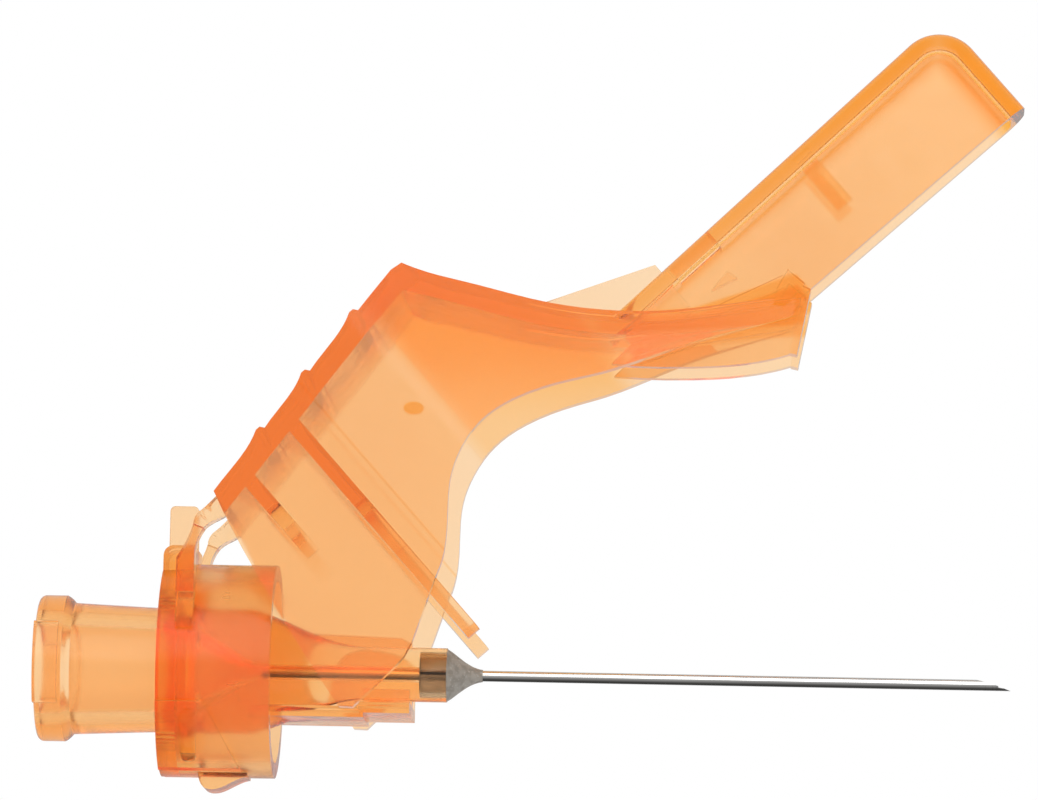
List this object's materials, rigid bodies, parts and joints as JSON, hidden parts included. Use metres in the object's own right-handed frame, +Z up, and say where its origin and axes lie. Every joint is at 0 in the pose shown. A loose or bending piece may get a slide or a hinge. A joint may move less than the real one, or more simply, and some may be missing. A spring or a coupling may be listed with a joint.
{
  "type": "safety hypodermic needle",
  "caption": "Hypodermic needle with a female luer hub, a bevelled steel cannula and a translucent orange shield that swings over the needle on a living hinge.",
  "frame": {"origin": "centre of the luer socket's mouth", "axes": "+X along the needle to its tip, +Y towards the side the open shield stands on, +Z up: the needle lies on its side"},
  "size_m": [0.0468, 0.0371, 0.0122],
  "materials": {
    "orange_plastic": "translucent, smooth moulded",
    "needle_steel": "polished steel tube",
    "grey_epoxy": "matt grey"
  },
  "bodies": {
    "needle": {"hub": "orange_plastic", "cannula": "needle_steel", "adhesive": "grey_epoxy", "collar": "orange_plastic", "hinge_strap_upper": "orange_plastic", "hinge_strap_lower": "orange_plastic"},
    "shield": {"shield": "orange_plastic"}
  },
  "joints": [
    {"name": "shield_hinge", "type": "hinge", "parent": "needle", "child": "shield", "pos_m": [0.00798, 0.00686, 0], "axis": [0, 0, 1], "range_deg": [-42, 60], "deforming": ["hinge_strap_upper", "hinge_strap_lower"]}
  ]
}
